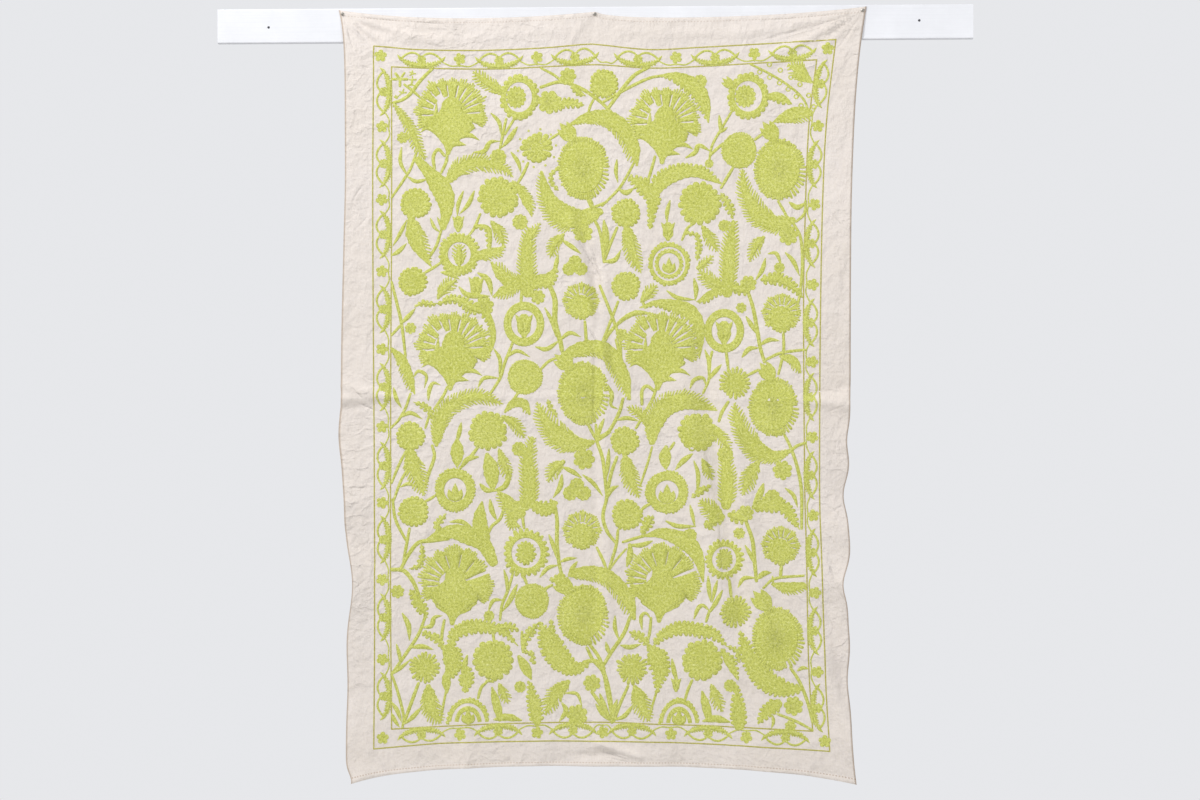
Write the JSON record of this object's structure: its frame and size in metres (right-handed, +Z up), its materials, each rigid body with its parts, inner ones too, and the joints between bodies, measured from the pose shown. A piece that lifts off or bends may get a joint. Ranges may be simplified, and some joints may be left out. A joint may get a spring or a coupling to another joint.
{
  "type": "suzani embroidered wall hanging with hanging batten",
  "caption": "Embroidered cotton wall cloth with floral field and narrow border, tacked by its top edge to a plain painted batten.",
  "frame": {"origin": "middle of the batten's flat back face, where it meets the wall", "axes": "+Z up, +Y into the wall, +X to the right as seen by someone who looks at the cloth"},
  "size_m": [2.08, 0.0397, 2.138],
  "materials": {
    "cloth": "unbleached cream cotton, plain weave with slubs, matt",
    "embroidery": "yellow-green wool thread, chain stitch and couched filling, soft sheen",
    "batten_paint": "white painted softwood, satin",
    "tack_metal": "dull nickel plated steel",
    "screw_metal": "zinc plated steel, dulled grey"
  },
  "bodies": {
    "root": {"batten": "batten_paint", "cloth": "cloth", "tack_left": "tack_metal", "tack_middle": "tack_metal", "tack_right": "tack_metal", "screw_left": "screw_metal", "screw_right": "screw_metal"}
  },
  "joints": []
}
